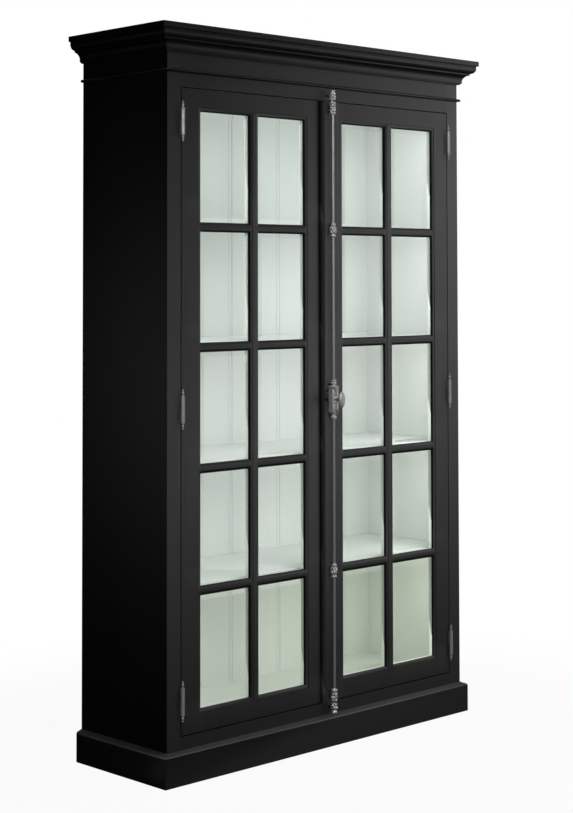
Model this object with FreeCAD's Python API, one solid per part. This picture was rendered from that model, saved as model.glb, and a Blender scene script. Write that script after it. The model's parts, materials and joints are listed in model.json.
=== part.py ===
import FreeCAD, Part
import math
import os

# Tall two-door glazed display cabinet with a cremone bolt, millimetres.
# Design frame: x = 0 at the outside of the left side, y = 0 on the front face
# of the face frame (y grows towards the back), z = 0 on the floor.
# export() moves every piece so that the origin is at the bottom centre of the
# whole object's box, front towards -Y.

Vector = FreeCAD.Vector
UP, DOWN, FORWARD = (0, 0, 1), (0, 0, -1), (0, -1, 0)

# ---------------------------------------------------------------- overall
W = 1300.0                      # body width
D = 435.0                       # body depth, face frame to back
H = 2300.0                      # total height
KNOB_BALL_R = 10.0              # sphere that is stretched into the knob's grip
KNOB_SCALE = (1.32, 0.9, 2.72)
KNOB_Y = -62.0
KNOB_FRONT = KNOB_Y - KNOB_BALL_R * KNOB_SCALE[1]   # foremost point of all
SHIFT = Vector(-W / 2, -(KNOB_FRONT + D) / 2, 0)

# ---------------------------------------------------------------- carcass
SIDE_T = 22.0                   # side panels
FRAME_T = 22.0                  # face frame
LINER_T = 20.0                  # side liners
STILE_W = 52.0                  # face frame stiles
OPEN_Z0, OPEN_Z1 = 140.0, 2113.0
FLOOR_TOP, FLOOR_T = 151.0, 20.0
CEIL_Z0, CEIL_T = 2098.0, 18.0
INNER_Y0 = 26.5                 # front edge of floor, ceiling and liners
BACK_T = 17.0
BACK_Y0 = D - BACK_T            # room side of the back boards
RAIL_Y0 = BACK_Y0 - 22.0        # front of the back rails
TOP_Z0 = 2282.0                 # underside of the top board
FRIEZE_Z0 = 2161.0
INSIDE_X0 = SIDE_T + LINER_T    # clear inside, between the liners
INSIDE_X1 = W - INSIDE_X0

# ---------------------------------------------------------------- doors
GAP = 3.0
DOOR_T = 25.0
DOOR_Z0, DOOR_Z1 = 143.5, OPEN_Z1 - GAP
LEFT_X0, LEFT_X1 = STILE_W + GAP, 630.5
RIGHT_X0, RIGHT_X1 = LEFT_X1 + GAP, W - STILE_W - GAP
GLASS_Z0, GLASS_Z1 = 212.5, 2041.0
ROWS = 5
BAR_H = 30.0                    # horizontal glazing bars
PANE_H = (GLASS_Z1 - GLASS_Z0 - (ROWS - 1) * BAR_H) / ROWS
# x ranges of the clear panes; the right door mirrors the left
LEFT_PANES = [(133.5, 327.8), (368.0, 562.5)]
RIGHT_PANES = [(W - b, W - a) for a, b in reversed(LEFT_PANES)]

# ---------------------------------------------------------------- astragal and rods
ASTRAGAL_W = 70.0
ASTRAGAL_FACE = -15.0           # y of its front
ROD_X = RIGHT_X0 + ASTRAGAL_W / 2
ROD_Y = -23.5
ROD_R = 5.25

os.makedirs("parts", exist_ok=True)


# ================================================================ helpers
def box(x0, x1, y0, y1, z0, z1):
    return Part.makeBox(x1 - x0, y1 - y0, z1 - z0, Vector(x0, y0, z0))


def cylinder(x, y, z, radius, length, direction=UP):
    return Part.makeCylinder(radius, length, Vector(x, y, z), Vector(*direction))


def fuse(shapes):
    return shapes[0].fuse(shapes[1:]).removeSplitter()


def profile_wire(points, place):
    """Closed wire. Each entry is an (a, b) point reached by a straight line,
    or a (middle, end) pair of points for an arc; place maps a, b to 3D."""
    edges = []
    here = place(*points[0])
    for entry in points[1:] + [points[0]]:
        if isinstance(entry[0], tuple):
            middle, end = entry
            there = place(*end)
            edges.append(Part.Arc(here, place(*middle), there).toShape())
        else:
            there = place(*entry)
            edges.append(Part.makeLine(here, there))
        here = there
    return Part.Wire(edges)


def extrude_profile(points, place, travel):
    return Part.Face(profile_wire(points, place)).extrude(Vector(*travel))


def turn(x, y, points):
    """Solid of revolution about the vertical line (x, y); points are (r, z)."""
    wire = profile_wire(points, lambda r, z: Vector(x + r, y, z))
    return Part.Face(wire).revolve(Vector(x, y, 0), Vector(0, 0, 1), 360)


def polygon(points):
    corners = [Vector(*p) for p in points]
    return Part.makePolygon(corners + corners[:1])


def prism(points, z0, z1):
    """Upright prism on an (x, y) outline."""
    face = Part.Face(polygon([(x, y, z0) for x, y in points]))
    return face.extrude(Vector(0, 0, z1 - z0))


def screw(x, y, z, direction, head_r, shank_r, head_l, length):
    """Countersunk screw; (x, y, z) is the centre of its head's face."""
    start, along = Vector(x, y, z), Vector(*direction)
    shank_start = head_l - 0.1
    head = Part.makeCone(head_r, shank_r, head_l, start, along)
    shank = Part.makeCylinder(shank_r, length - shank_start, start + along * shank_start, along)
    return fuse([head, shank])


def edges_at(shape, axis, value):
    """Edges lying wholly in the plane where the axis ("Y" or "Z") has this value."""
    return [e for e in shape.Edges
            if abs(getattr(e.BoundBox, axis + "Min") - value) < 0.01
            and abs(getattr(e.BoundBox, axis + "Max") - value) < 0.01]


def export(name, *shapes):
    solids = [solid for shape in shapes for solid in shape.Solids]
    for solid in solids:
        # guards against a boolean leaving a slightly invalid solid
        if not solid.isValid():
            solid.fix(0.001, 0.001, 0.001)
    piece = solids[0].copy() if len(solids) == 1 else Part.makeCompound(solids)
    piece.translate(SHIFT)
    piece.exportStep("parts/%s.step" % name)


# ================================================================ mouldings
CROWN_Z0 = 2217.5
CROWN_P = 57.0                  # crown projection at its top edge
CROWN_H = H - CROWN_Z0
BEAD_H, BEAD_P = 9.5, 10.0
PLINTH_P, PLINTH_H = 20.0, 88.0
CAP_H = 13.0

RUN_OVER = 200.0                # extra length of each run before mitring
MITRE = 150.0                   # reach of the mitre cuts
MITRE_BACK = 50.0               # their reach past the body's corner

# Profiles: (projection, height above the moulding's base)
CROWN_PROFILE = [               # fillets, cove, fillet, ovolo, top fillet
    (0, 0), (9.5, 0), (9.5, 4), (14, 4), (14, 6.5),
    ((18.8, 24.7), (34, 33.5)), (34, 38.5),
    ((46.6, 45.3), (50, 60.5)), (50, 64.5),
    (CROWN_P, 66), (CROWN_P, CROWN_H), (0, CROWN_H)]
BEAD_PROFILE = [                # heights from the bead's middle
    (0, -BEAD_H / 2), (5.5, -BEAD_H / 2), ((BEAD_P, 0), (5.5, BEAD_H / 2)), (0, BEAD_H / 2)]
PLINTH_PROFILE = [(0, 0), (PLINTH_P, 0), (PLINTH_P, PLINTH_H), (0, PLINTH_H)]
CAP_PROFILE = [
    (0, 0), (PLINTH_P, 0), (PLINTH_P, 1.5),
    ((17.2, 6.0), (12.5, 8.4)), ((6.5, 10.4), (2.0, CAP_H)), (0, CAP_H)]


def from_left(x):
    return x


def from_right(x):
    return W - x


def trim_set(base_z, profile):
    """Front run, then left and right mitred returns, of one moulding."""
    front_waste = [(0, 0), (-MITRE, -MITRE), (-2 * MITRE, -MITRE),
                   (-2 * MITRE, MITRE_BACK), (0, MITRE_BACK)]
    return_waste = [(0, 0), (-MITRE, -MITRE), (-MITRE, -2 * MITRE),
                    (MITRE_BACK, -2 * MITRE), (MITRE_BACK, 0)]

    def waste(outline, side):
        return prism([(side(x), y) for x, y in outline], -10.0, H + 10.0)

    front = extrude_profile(profile, lambda p, z: Vector(-RUN_OVER, -p, base_z + z),
                            (W + 2 * RUN_OVER, 0, 0))
    runs = [front.cut([waste(front_waste, side) for side in (from_left, from_right)])]
    for side in (from_left, from_right):
        run = extrude_profile(profile, lambda p, z: Vector(side(-p), -RUN_OVER, base_z + z),
                              (0, RUN_OVER + D, 0))
        runs.append(run.cut(waste(return_waste, side)))
    return runs


crown = trim_set(CROWN_Z0, CROWN_PROFILE)
export("crown_front", crown[0])
export("crown_returns", *crown[1:])
export("neck_bead", *trim_set(FRIEZE_Z0, BEAD_PROFILE))
export("plinth_boards", *trim_set(0, PLINTH_PROFILE))
export("base_cap", *trim_set(PLINTH_H, CAP_PROFILE))

# ================================================================ hinges
HINGE_X = {"left": STILE_W + GAP / 2, "right": W - STILE_W - GAP / 2}
HINGE_Y = -8.5
HINGE_Z = [2006.0, 1127.0, 247.0]
BARREL_R, BARREL_L = 6.5, 83.0
BARREL_GAP = 0.25               # each half barrel stops this short of the middle
RING_R = 0.9                    # raised rings round the barrel
PIN_R = 3.0
PIN_CLEAR = 0.06
LEAF_NEAR, LEAF_FAR = 1.0, 3.0  # faces of a leaf, from the axis
LEAF_Y1 = 19.0
LEAF_INSET = 2.0                # leaf stops short of its barrel's outer end
HINGE_SCREW_DZ = (9.0, 30.0)
HINGE_SCREW_Y = 9.5
HINGE_SCREW = dict(head_r=3.0, shank_r=1.6, head_l=1.8, length=18.0)


def upper_finial(axis_x, z):
    return turn(axis_x, HINGE_Y, [
        (0, z - 0.5), (4.6, z - 0.5), (4.6, z + 1.5), (2.6, z + 3.2), (2.6, z + 4.6),
        ((4.5, z + 9.0), (2.0, z + 13.6)),
        ((3.3, z + 16.8), (0.6, z + 20.6)), (0, z + 21.0)])


def hinge_pin(axis_x, middle_z):
    """Pin with its lower finial."""
    z = middle_z - BARREL_L / 2
    top = middle_z + 30.0
    return turn(axis_x, HINGE_Y, [
        (0, z - 21.0), (0.6, z - 20.6),
        ((3.3, z - 16.8), (2.0, z - 13.6)),
        ((4.5, z - 9.0), (2.6, z - 4.6)),
        (2.6, z - 3.2), (4.6, z - 1.5), (4.6, z), (PIN_R, z),
        (PIN_R, top - 1.0), (2.2, top), (0, top)])


def hinge_half(axis_x, middle_z, toward, up):
    """Half of a lift-off hinge: up is -1 for the lower half, on the frame, and
    +1 for the upper half, on the door; toward is the x direction from the axis
    to the wood. Returns the half, its screws and the cuts for its stile."""
    end_z = middle_z + up * BARREL_L / 2
    joint_z = middle_z + up * BARREL_GAP
    leaf_z = sorted((end_z - up * LEAF_INSET, joint_z))
    leaf_x = sorted((axis_x + toward * LEAF_NEAR, axis_x + toward * LEAF_FAR))
    barrel = cylinder(axis_x, HINGE_Y, min(end_z, joint_z), BARREL_R, BARREL_L / 2 - BARREL_GAP)
    leaf = box(*leaf_x, HINGE_Y, LEAF_Y1, *leaf_z)
    rings = [Part.makeTorus(BARREL_R - 0.1, RING_R, Vector(axis_x, HINGE_Y, z), Vector(*UP))
             for z in (end_z - up * 4.0, middle_z + up * 4.5)]
    if up > 0:
        half = fuse([barrel, leaf] + rings + [upper_finial(axis_x, end_z)])
        bore = cylinder(axis_x, HINGE_Y, middle_z - 1, PIN_R + PIN_CLEAR, 33.0)
    else:
        half = fuse([barrel, leaf] + rings)
        bore = cylinder(axis_x, HINGE_Y, end_z - 1, PIN_R, BARREL_L)
    screws = [screw(axis_x + toward * LEAF_NEAR, HINGE_SCREW_Y, middle_z + up * dz,
                    (toward, 0, 0), **HINGE_SCREW) for dz in HINGE_SCREW_DZ]
    recess_x = sorted((axis_x + toward * LEAF_FAR, axis_x - toward * 5.0))
    recess = box(*recess_x, -1, LEAF_Y1, *leaf_z)
    return half.cut(bore).cut(screws), screws, [recess] + screws


frame_leaves, hinge_pins, frame_screws = [], [], []
stile_cuts = {"left": [], "right": []}
door_cuts = {"left": [], "right": []}
for name, door_side in (("left", 1), ("right", -1)):
    door_leaves, door_screws = [], []
    for z in HINGE_Z:
        leaf, screws, cuts = hinge_half(HINGE_X[name], z, -door_side, -1)
        frame_leaves.append(leaf)
        frame_screws += screws
        stile_cuts[name] += cuts
        leaf, screws, cuts = hinge_half(HINGE_X[name], z, door_side, 1)
        door_leaves.append(leaf)
        door_screws += screws
        door_cuts[name] += cuts
        hinge_pins.append(hinge_pin(HINGE_X[name], z))
    export(name + "_hinge_leaves", *door_leaves)
    export(name + "_hinge_screws", *door_screws)
export("hinge_frame_leaves", *frame_leaves)
export("hinge_pins", *hinge_pins)
export("hinge_screws_frame", *frame_screws)

# ================================================================ carcass panels
BOLT_X, BOLT_Y, BOLT_R = 616.0, 15.5, 4.0      # flush bolts of the left door
BOLT_HOLE_R = BOLT_R + 0.5
BOLT_HOLE_L = 22.0

export("side_panel_left", box(0, SIDE_T, FRAME_T, D, 0, TOP_Z0))
export("side_panel_right", box(W - SIDE_T, W, FRAME_T, D, 0, TOP_Z0))

# face frame; the rails are bored for the flush bolts
export("face_stile_left", box(0, STILE_W, 0, FRAME_T, 0, TOP_Z0).cut(stile_cuts["left"]))
export("face_stile_right", box(W - STILE_W, W, 0, FRAME_T, 0, TOP_Z0).cut(stile_cuts["right"]))
export("face_top_rail", box(STILE_W, W - STILE_W, 0, FRAME_T, OPEN_Z1, FRIEZE_Z0).cut(
    cylinder(BOLT_X, BOLT_Y, OPEN_Z1 - 1, BOLT_HOLE_R, BOLT_HOLE_L)))
export("face_bottom_rail", box(STILE_W, W - STILE_W, 0, FRAME_T, 40.0, OPEN_Z0).cut(
    cylinder(BOLT_X, BOLT_Y, OPEN_Z0 + 1, BOLT_HOLE_R, BOLT_HOLE_L, DOWN)))
export("frieze_board", box(STILE_W, W - STILE_W, 0, FRAME_T, FRIEZE_Z0, TOP_Z0))

export("top_board", box(0, W, 0, D, TOP_Z0, H))
export("ceiling_panel",
       box(SIDE_T, W - SIDE_T, INNER_Y0, BACK_Y0, CEIL_Z0, CEIL_Z0 + CEIL_T))
export("floor_panel",
       box(SIDE_T, W - SIDE_T, INNER_Y0, BACK_Y0, FLOOR_TOP - FLOOR_T, FLOOR_TOP))

# ================================================================ shelves and liners
SHELF_T = 20.0
SHELF_RISE = 18.0               # shelf top above the centre of the bar in front
SHELF_Y0 = 40.0
SHELF_END_GAP = 2.0
SHELF_PIN_R = 2.5
SHELF_PIN_IN = 10.0             # length of pin in the liner
SHELF_PIN_L = 20.0
COLLAR_T = 1.5                  # pin's collar, in the gap beside the shelf's end
SHELF_PIN_Y = (SHELF_Y0 + 40.0, BACK_Y0 - 50.0)

bar_centres = [GLASS_Z1 - (i + 1) * PANE_H - (i + 0.5) * BAR_H for i in range(ROWS - 1)]
shelf_tops = [z + SHELF_RISE for z in bar_centres]

shelf_pins, pin_holes = [], {"left": [], "right": []}
for top in shelf_tops:
    pin_z = top - SHELF_T - SHELF_PIN_R
    for y in SHELF_PIN_Y:
        for name, face_x, inward in (("left", INSIDE_X0, 1), ("right", INSIDE_X1, -1)):
            start_x = face_x - inward * SHELF_PIN_IN
            along = (inward, 0, 0)
            shank = cylinder(start_x, y, pin_z, SHELF_PIN_R, SHELF_PIN_L, along)
            collar = cylinder(face_x, y, pin_z, SHELF_PIN_R + 1.5, COLLAR_T, along)
            shelf_pins.append(fuse([shank, collar]))
            pin_holes[name].append(
                cylinder(start_x, y, pin_z, SHELF_PIN_R, SHELF_PIN_IN, along))
export("shelf_pins", *shelf_pins)
for name, x in (("left", SIDE_T), ("right", INSIDE_X1)):
    liner = box(x, x + LINER_T, INNER_Y0, BACK_Y0, FLOOR_TOP, CEIL_Z0)
    export("side_liner_" + name, liner.cut(pin_holes[name]))

for number, top in enumerate(shelf_tops, 1):
    shelf = box(INSIDE_X0 + SHELF_END_GAP, INSIDE_X1 - SHELF_END_GAP,
                SHELF_Y0, BACK_Y0 - 1.5, top - SHELF_T, top)
    front = [e for e in edges_at(shelf, "Y", SHELF_Y0) if e.BoundBox.XLength > 100]
    export("shelf_%d" % number, shelf.makeFillet(3.0, front))

# ================================================================ back
BOARD_JOINTS = [170.0 + i * 217.5 for i in range(5)]
JOINT_GAP = 0.4                 # each board stops this short of the joint line
CHAMFER = 1.6                   # forms the vee at a joint
TONGUE = 5.0
TONGUE_Y0, TONGUE_Y1 = BACK_Y0 + 6.0, BACK_Y0 + 11.0
GROOVE_CLEAR = 0.3
LINE_OFFSET = 13.0              # bead line, from a board's right edge
LINE_HALF_W, LINE_DEPTH = 1.2, 1.8
RAIL_TOP_Z = (2130.0, 2210.0)
RAIL_BOTTOM_Z = (40.0, 128.0)
WALL_X = (W / 2 - 450.0, W / 2 + 450.0)
WALL_Z = sum(RAIL_TOP_Z) / 2
BLOCK = 45.0                    # legs of the triangular corner blocks
BLOCK_H = 80.0

# holes through the boards and the upper rail
wall_holes = [cylinder(x, D, WALL_Z, 2.5, 30.0, FORWARD) for x in WALL_X]


def back_board(left, right, first, last):
    """Board with a tongue on its right edge, a groove in its left edge and a
    vee line near the right edge; the outer edges of the back are plain."""
    if not first:
        left += JOINT_GAP
    if not last:
        right -= JOINT_GAP
    points = [(left if first else left + CHAMFER, BACK_Y0)]
    if last:
        points += [(right, BACK_Y0), (right, D)]
    else:
        line = right - LINE_OFFSET
        points += [
            (line - LINE_HALF_W, BACK_Y0), (line, BACK_Y0 + LINE_DEPTH),
            (line + LINE_HALF_W, BACK_Y0),
            (right - CHAMFER, BACK_Y0), (right, BACK_Y0 + CHAMFER),
            (right, TONGUE_Y0), (right + TONGUE, TONGUE_Y0),
            (right + TONGUE, TONGUE_Y1), (right, TONGUE_Y1), (right, D)]
    points.append((left, D))
    if first:
        points.append((left, BACK_Y0 + 1.0))
    else:
        groove_x = left + TONGUE + 0.5
        groove_y0, groove_y1 = TONGUE_Y0 - GROOVE_CLEAR, TONGUE_Y1 + GROOVE_CLEAR
        points += [(left, groove_y1), (groove_x, groove_y1), (groove_x, groove_y0),
                   (left, groove_y0), (left, BACK_Y0 + CHAMFER)]
    return prism(points, 4.0, TOP_Z0).cut(wall_holes)


board_edges = [SIDE_T + 1.0] + BOARD_JOINTS + [W - SIDE_T - 1.0]
last_board = len(board_edges) - 2
export("back_boards", *[
    back_board(board_edges[i], board_edges[i + 1], i == 0, i == last_board)
    for i in range(last_board + 1)])
export("back_rails",
       box(SIDE_T, W - SIDE_T, RAIL_Y0, BACK_Y0, *RAIL_TOP_Z).cut(wall_holes),
       box(SIDE_T, W - SIDE_T, RAIL_Y0, BACK_Y0, *RAIL_BOTTOM_Z))

# Triangular blocks: corner x, corner y, then the x, y offsets of the other two points
PLINTH_BLOCKS = [
    (SIDE_T, FRAME_T, (BLOCK, 0), (0, BLOCK)),
    (W - SIDE_T, FRAME_T, (0, BLOCK), (-BLOCK, 0)),
    (SIDE_T, RAIL_Y0, (0, -BLOCK), (BLOCK, 0)),
    (W - SIDE_T, RAIL_Y0, (-BLOCK, 0), (0, -BLOCK))]
export("plinth_blocks", *[
    prism([(x, y), (x + a[0], y + a[1]), (x + b[0], y + b[1])], 0, BLOCK_H)
    for x, y, a, b in PLINTH_BLOCKS])

# ================================================================ flush bolts
BOLT_L = 150.0
BOLT_TRAVEL = 14.0
BOLT_END_INSET = 1.0            # bolt's end, in from the door's edge
THUMB_FROM_END = 118.0
THUMB_HALF_H = 5.0
THUMB_HALF_T = 2.0
PLATE_T = 1.6
PLATE_HALF_T = 6.0


def flush_bolt(door_end_z, up):
    """Bolt in the edge of the left door's meeting stile; up is +1 or -1.
    Returns the bolt, its edge plate and the cuts for the stile."""
    end = door_end_z - up * BOLT_END_INSET
    inner = end - up * BOLT_L
    thumb_z = end - up * THUMB_FROM_END
    plate_x = LEFT_X1 - PLATE_T
    tab_yz = (BOLT_Y - THUMB_HALF_T, BOLT_Y + THUMB_HALF_T,
              thumb_z - THUMB_HALF_H, thumb_z + THUMB_HALF_H)
    rod = cylinder(BOLT_X, BOLT_Y, min(end, inner), BOLT_R, BOLT_L)
    tab = box(BOLT_X, plate_x, *tab_yz)
    thumb = box(plate_x, LEFT_X1 - 0.4, *tab_yz)
    bolt = fuse([rod, tab, thumb])

    bore_z0, bore_z1 = sorted((end + up * 5, inner - up * 2))
    bore = cylinder(BOLT_X, BOLT_Y, bore_z0, BOLT_R + 0.06, bore_z1 - bore_z0)
    slot_z = sorted((thumb_z - up * 7.0, thumb_z + up * (BOLT_TRAVEL + 7.0)))
    slot = box(BOLT_X, LEFT_X1 + 1, BOLT_Y - 2.4, BOLT_Y + 2.4, *slot_z)
    plate_yz = (BOLT_Y - PLATE_HALF_T, BOLT_Y + PLATE_HALF_T,
                *sorted((thumb_z - up * 22.0, thumb_z + up * 36.0)))
    recess = box(plate_x, LEFT_X1 + 1, *plate_yz)
    plate = box(plate_x, LEFT_X1, *plate_yz).cut(slot)
    return bolt, plate, [bore, slot, recess]


upper_bolt, upper_plate, upper_bolt_cuts = flush_bolt(DOOR_Z1, 1)
lower_bolt, lower_plate, lower_bolt_cuts = flush_bolt(DOOR_Z0, -1)
export("left_bolt_upper", upper_bolt)
export("left_bolt_lower", lower_bolt)
export("left_bolt_plates", upper_plate, lower_plate)

# ================================================================ doors
MOULD_W = 14.0                  # edge moulding round each pane
LIP_Y = 6.0                     # depth of the moulding at the sight line
REBATE_Y, REBATE_W = 8.2, 7.0
GLASS_FRONT, GLASS_EDGE, GLASS_BACK = 6.9, 8.3, 10.7
GLASS_CLEAR = 0.5               # glass edge to rebate
BEVEL_START, BEVEL_END = 0.3, 15.0   # inside the sight line
BEAD_Y0 = 10.8                  # front of the glazing beads
BEAD_CLEAR = 0.2                # bead to rebate

row_tops = [GLASS_Z1 - r * (PANE_H + BAR_H) for r in range(ROWS)]
row_spans = [(top - PANE_H, top) for top in row_tops]

# (distance outward from the sight line, y)
STICKING_PROFILE = [
    (MOULD_W, -1.0), (MOULD_W, 1.3), (MOULD_W - 1.0, 1.3),
    ((MOULD_W - 7.4, 1.9), (0, LIP_Y)),
    (0, LIP_Y + 1.0), (-3.0, LIP_Y + 1.0), (-3.0, -1.0)]


def pane_cutter(x0, x1, z0, z1):
    """Cuts for one pane: mitred moulding, through opening, glazing rebate."""
    middle_z = (z0 + z1) / 2
    # the sweep starts and ends half way up the left side, away from the corners
    path = polygon([(x0, 0, middle_z), (x0, 0, z1), (x1, 0, z1), (x1, 0, z0), (x0, 0, z0)])
    section = profile_wire(STICKING_PROFILE, lambda s, y: Vector(x0 - s, y, middle_z))
    moulding = path.makePipeShell([section], True, False, 1)
    opening = box(x0, x1, -1, DOOR_T + 1, z0, z1)
    rebate = box(x0 - REBATE_W, x1 + REBATE_W, REBATE_Y, DOOR_T + 1,
                 z0 - REBATE_W, z1 + REBATE_W)
    return [moulding, opening, rebate]


def bevelled_glass(x0, x1, z0, z1):
    """Plate with a raised, bevelled front; its thin edge sits in the rebate."""
    def inset_rectangle(inset, y):
        left, right, low, high = x0 + inset, x1 - inset, z0 + inset, z1 - inset
        return polygon([(left, y, low), (right, y, low), (right, y, high), (left, y, high)])

    raised = Part.makeLoft([inset_rectangle(BEVEL_START, GLASS_EDGE),
                            inset_rectangle(BEVEL_END, GLASS_FRONT)], True, True)
    edge = REBATE_W - GLASS_CLEAR
    base = box(x0 - edge, x1 + edge, GLASS_EDGE, GLASS_BACK, z0 - edge, z1 + edge)
    return fuse([base, raised])


def glazing_bead(x0, x1, z0, z1):
    edge = REBATE_W - BEAD_CLEAR
    return box(x0 - edge, x1 + edge, BEAD_Y0, DOOR_T, z0 - edge, z1 + edge).cut(
        box(x0, x1, BEAD_Y0 - 1, DOOR_T + 1, z0, z1))


def make_door(name, x0, x1, panes, hinge_cuts, meeting_cuts):
    cutters = [[pane_cutter(a, b, z0, z1) for z0, z1 in row_spans] for a, b in panes]
    columns = [[tool for cutter in column for tool in cutter] for column in cutters]
    (first_x0, first_x1), (second_x0, second_x1) = panes

    def row(r):
        return cutters[0][r] + cutters[1][r]

    left = box(x0, first_x0, 0, DOOR_T, DOOR_Z0, DOOR_Z1).cut(columns[0])
    right = box(second_x1, x1, 0, DOOR_T, DOOR_Z0, DOOR_Z1).cut(columns[1])
    hinge, meeting = (left, right) if name == "left" else (right, left)
    export(name + "_hinge_stile", hinge.cut(hinge_cuts))
    if meeting_cuts:
        meeting = meeting.cut(meeting_cuts)
    export(name + "_meeting_stile", meeting)

    export(name + "_top_rail",
           box(first_x0, second_x1, 0, DOOR_T, GLASS_Z1, DOOR_Z1).cut(row(0)))
    export(name + "_bottom_rail",
           box(first_x0, second_x1, 0, DOOR_T, DOOR_Z0, GLASS_Z0).cut(row(ROWS - 1)))
    export(name + "_vertical_muntin",
           box(first_x1, second_x0, 0, DOOR_T, GLASS_Z0, GLASS_Z1).cut(columns[0] + columns[1]))
    export(name + "_horizontal_muntins", *[
        box(a, b, 0, DOOR_T, row_spans[r + 1][1], row_spans[r][0]).cut(column[r] + column[r + 1])
        for (a, b), column in zip(panes, cutters) for r in range(ROWS - 1)])

    openings = [(a, b, z0, z1) for a, b in panes for z0, z1 in row_spans]
    export(name + "_glass", *[bevelled_glass(*opening) for opening in openings])
    export(name + "_glazing_beads", *[glazing_bead(*opening) for opening in openings])


make_door("left", LEFT_X0, LEFT_X1, LEFT_PANES, door_cuts["left"],
          upper_bolt_cuts + lower_bolt_cuts)
make_door("right", RIGHT_X0, RIGHT_X1, RIGHT_PANES, door_cuts["right"], [])

# ================================================================ cremone gear and rods
CASE_Z = 1128.0                 # height of the pinion, case and knob
GEAR_MODULE, GEAR_TEETH = 0.8, 20
PINION_R = GEAR_MODULE * GEAR_TEETH / 2     # pitch radius
ADDENDUM, DEDENDUM = 0.75 * GEAR_MODULE, 1.15 * GEAR_MODULE
RACK_Y0, RACK_Y1 = -26.0, -21.0
RACK_BACK = PINION_R + DEDENDUM + 2.2       # back of a rack, from the pinion's axis
RACK_REACH = 16.5               # rack's length past the pinion's axis
RACK_MARGIN = 0.6               # least distance from a tooth's centre to a rack's end
SPINDLE_R = 4.0
FOOT_Z, FOOT_H = 11.5, 6.0      # block joining rack and rod, from the pinion's axis
ROD_TOP = DOOR_Z1 - 1.0
ROD_BOTTOM = 144.6
SLIDE_CLEAR = 0.06


def pinion(y0, y1):
    root_r, tip_r = PINION_R - DEDENDUM, PINION_R + ADDENDUM
    pitch = 2 * math.pi / GEAR_TEETH
    tip_half = 0.26 * pitch / 2
    root_half = 0.74 * pitch / 2 * 0.66
    points = []
    for i in range(GEAR_TEETH):
        centre = i * pitch
        for angle, radius in ((centre - root_half, root_r), (centre - tip_half, tip_r),
                              (centre + tip_half, tip_r), (centre + root_half, root_r)):
            points.append((ROD_X + radius * math.cos(angle), y0,
                           CASE_Z + radius * math.sin(angle)))
    return Part.Face(polygon(points)).extrude(Vector(0, y1 - y0, 0))


def rack(side, z0, z1):
    """Toothed bar beside the pinion, side -1 left or +1 right."""
    pitch = math.pi * GEAR_MODULE
    tip_half, root_half = 0.15 * pitch, 0.27 * pitch
    tip_x = ROD_X + side * (PINION_R - ADDENDUM)
    root_x = ROD_X + side * (PINION_R + DEDENDUM)
    sunk_x = root_x + side * 0.05           # teeth start just inside the bar
    bar = box(*sorted((root_x, ROD_X + side * RACK_BACK)), RACK_Y0, RACK_Y1, z0, z1)
    teeth = []
    # teeth stand half a pitch off the pinion's axis
    step = math.ceil((z0 + RACK_MARGIN - CASE_Z) / pitch - 0.5)
    z = CASE_Z + (step + 0.5) * pitch
    while z <= z1 - RACK_MARGIN:
        if z - root_half >= z0:
            outline = polygon([(sunk_x, RACK_Y0, z - root_half), (tip_x, RACK_Y0, z - tip_half),
                               (tip_x, RACK_Y0, z + tip_half), (sunk_x, RACK_Y0, z + root_half)])
            teeth.append(Part.Face(outline).extrude(Vector(0, RACK_Y1 - RACK_Y0, 0)))
        step += 1
        z = CASE_Z + (step + 0.5) * pitch
    return fuse([bar] + teeth)


def cremone_rod(up, end_z):
    """Rod with its foot and rack; the upper rod's rack is left of the pinion,
    the lower rod's is right of it."""
    side = -up
    toothed = rack(side, *sorted((CASE_Z - up * RACK_REACH, CASE_Z + up * (FOOT_Z + FOOT_H))))
    foot = box(*sorted((ROD_X + side * RACK_BACK, ROD_X - side * 5.0)), RACK_Y0, RACK_Y1,
               *sorted((CASE_Z + up * FOOT_Z, CASE_Z + up * (FOOT_Z + FOOT_H))))
    z0, z1 = sorted((CASE_Z + up * (FOOT_Z + 4.0), end_z))
    rod = cylinder(ROD_X, ROD_Y, z0, ROD_R, z1 - z0)
    rod = rod.makeFillet(1.2, edges_at(rod, "Z", end_z))
    return fuse([toothed, foot, rod])


export("cremone_spindle", fuse([
    pinion(RACK_Y0 + 0.2, RACK_Y1 - 0.2),
    cylinder(ROD_X, -15.6, CASE_Z, SPINDLE_R, 38.0, FORWARD)]))
export("cremone_rod_upper", cremone_rod(1, ROD_TOP))
export("cremone_rod_lower", cremone_rod(-1, ROD_BOTTOM))

# ================================================================ cremone case, astragal
CASE_W, CASE_H = 27.0, 92.0
CASE_FRONT = -33.5
COLLAR_L = 18.5                 # turned collar beyond each end of the case
EAR_W, EAR_T, EAR_HALF_H = 6.0, 2.2, 6.0
EAR_DZ = 30.0
FACE_SCREW = dict(head_r=2.6, shank_r=1.3, head_l=1.6, length=14.0)


def case_collar(up):
    """Collar where a rod leaves the case, and the web behind it."""
    z = CASE_Z + up * CASE_H / 2
    collar = turn(ROD_X, ROD_Y, [
        (0, z - up * 3), (9.0, z - up * 3), (9.0, z + up * 1.0),
        ((7.2, z + up * 4.0), (8.6, z + up * 7.5)),
        ((10.2, z + up * 10.5), (8.6, z + up * 13.5)),
        (8.6, z + up * 14.5), (9.6, z + up * 15.5),
        (9.6, z + up * COLLAR_L), (0, z + up * COLLAR_L)])
    collar = collar.common(box(ROD_X - 30, ROD_X + 30, -60, ASTRAGAL_FACE, z - 30, z + 30))
    web = box(ROD_X - 6.0, ROD_X + 6.0, ROD_Y, ASTRAGAL_FACE,
              *sorted((z - up * 2, z + up * COLLAR_L)))
    return [collar, web]


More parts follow.
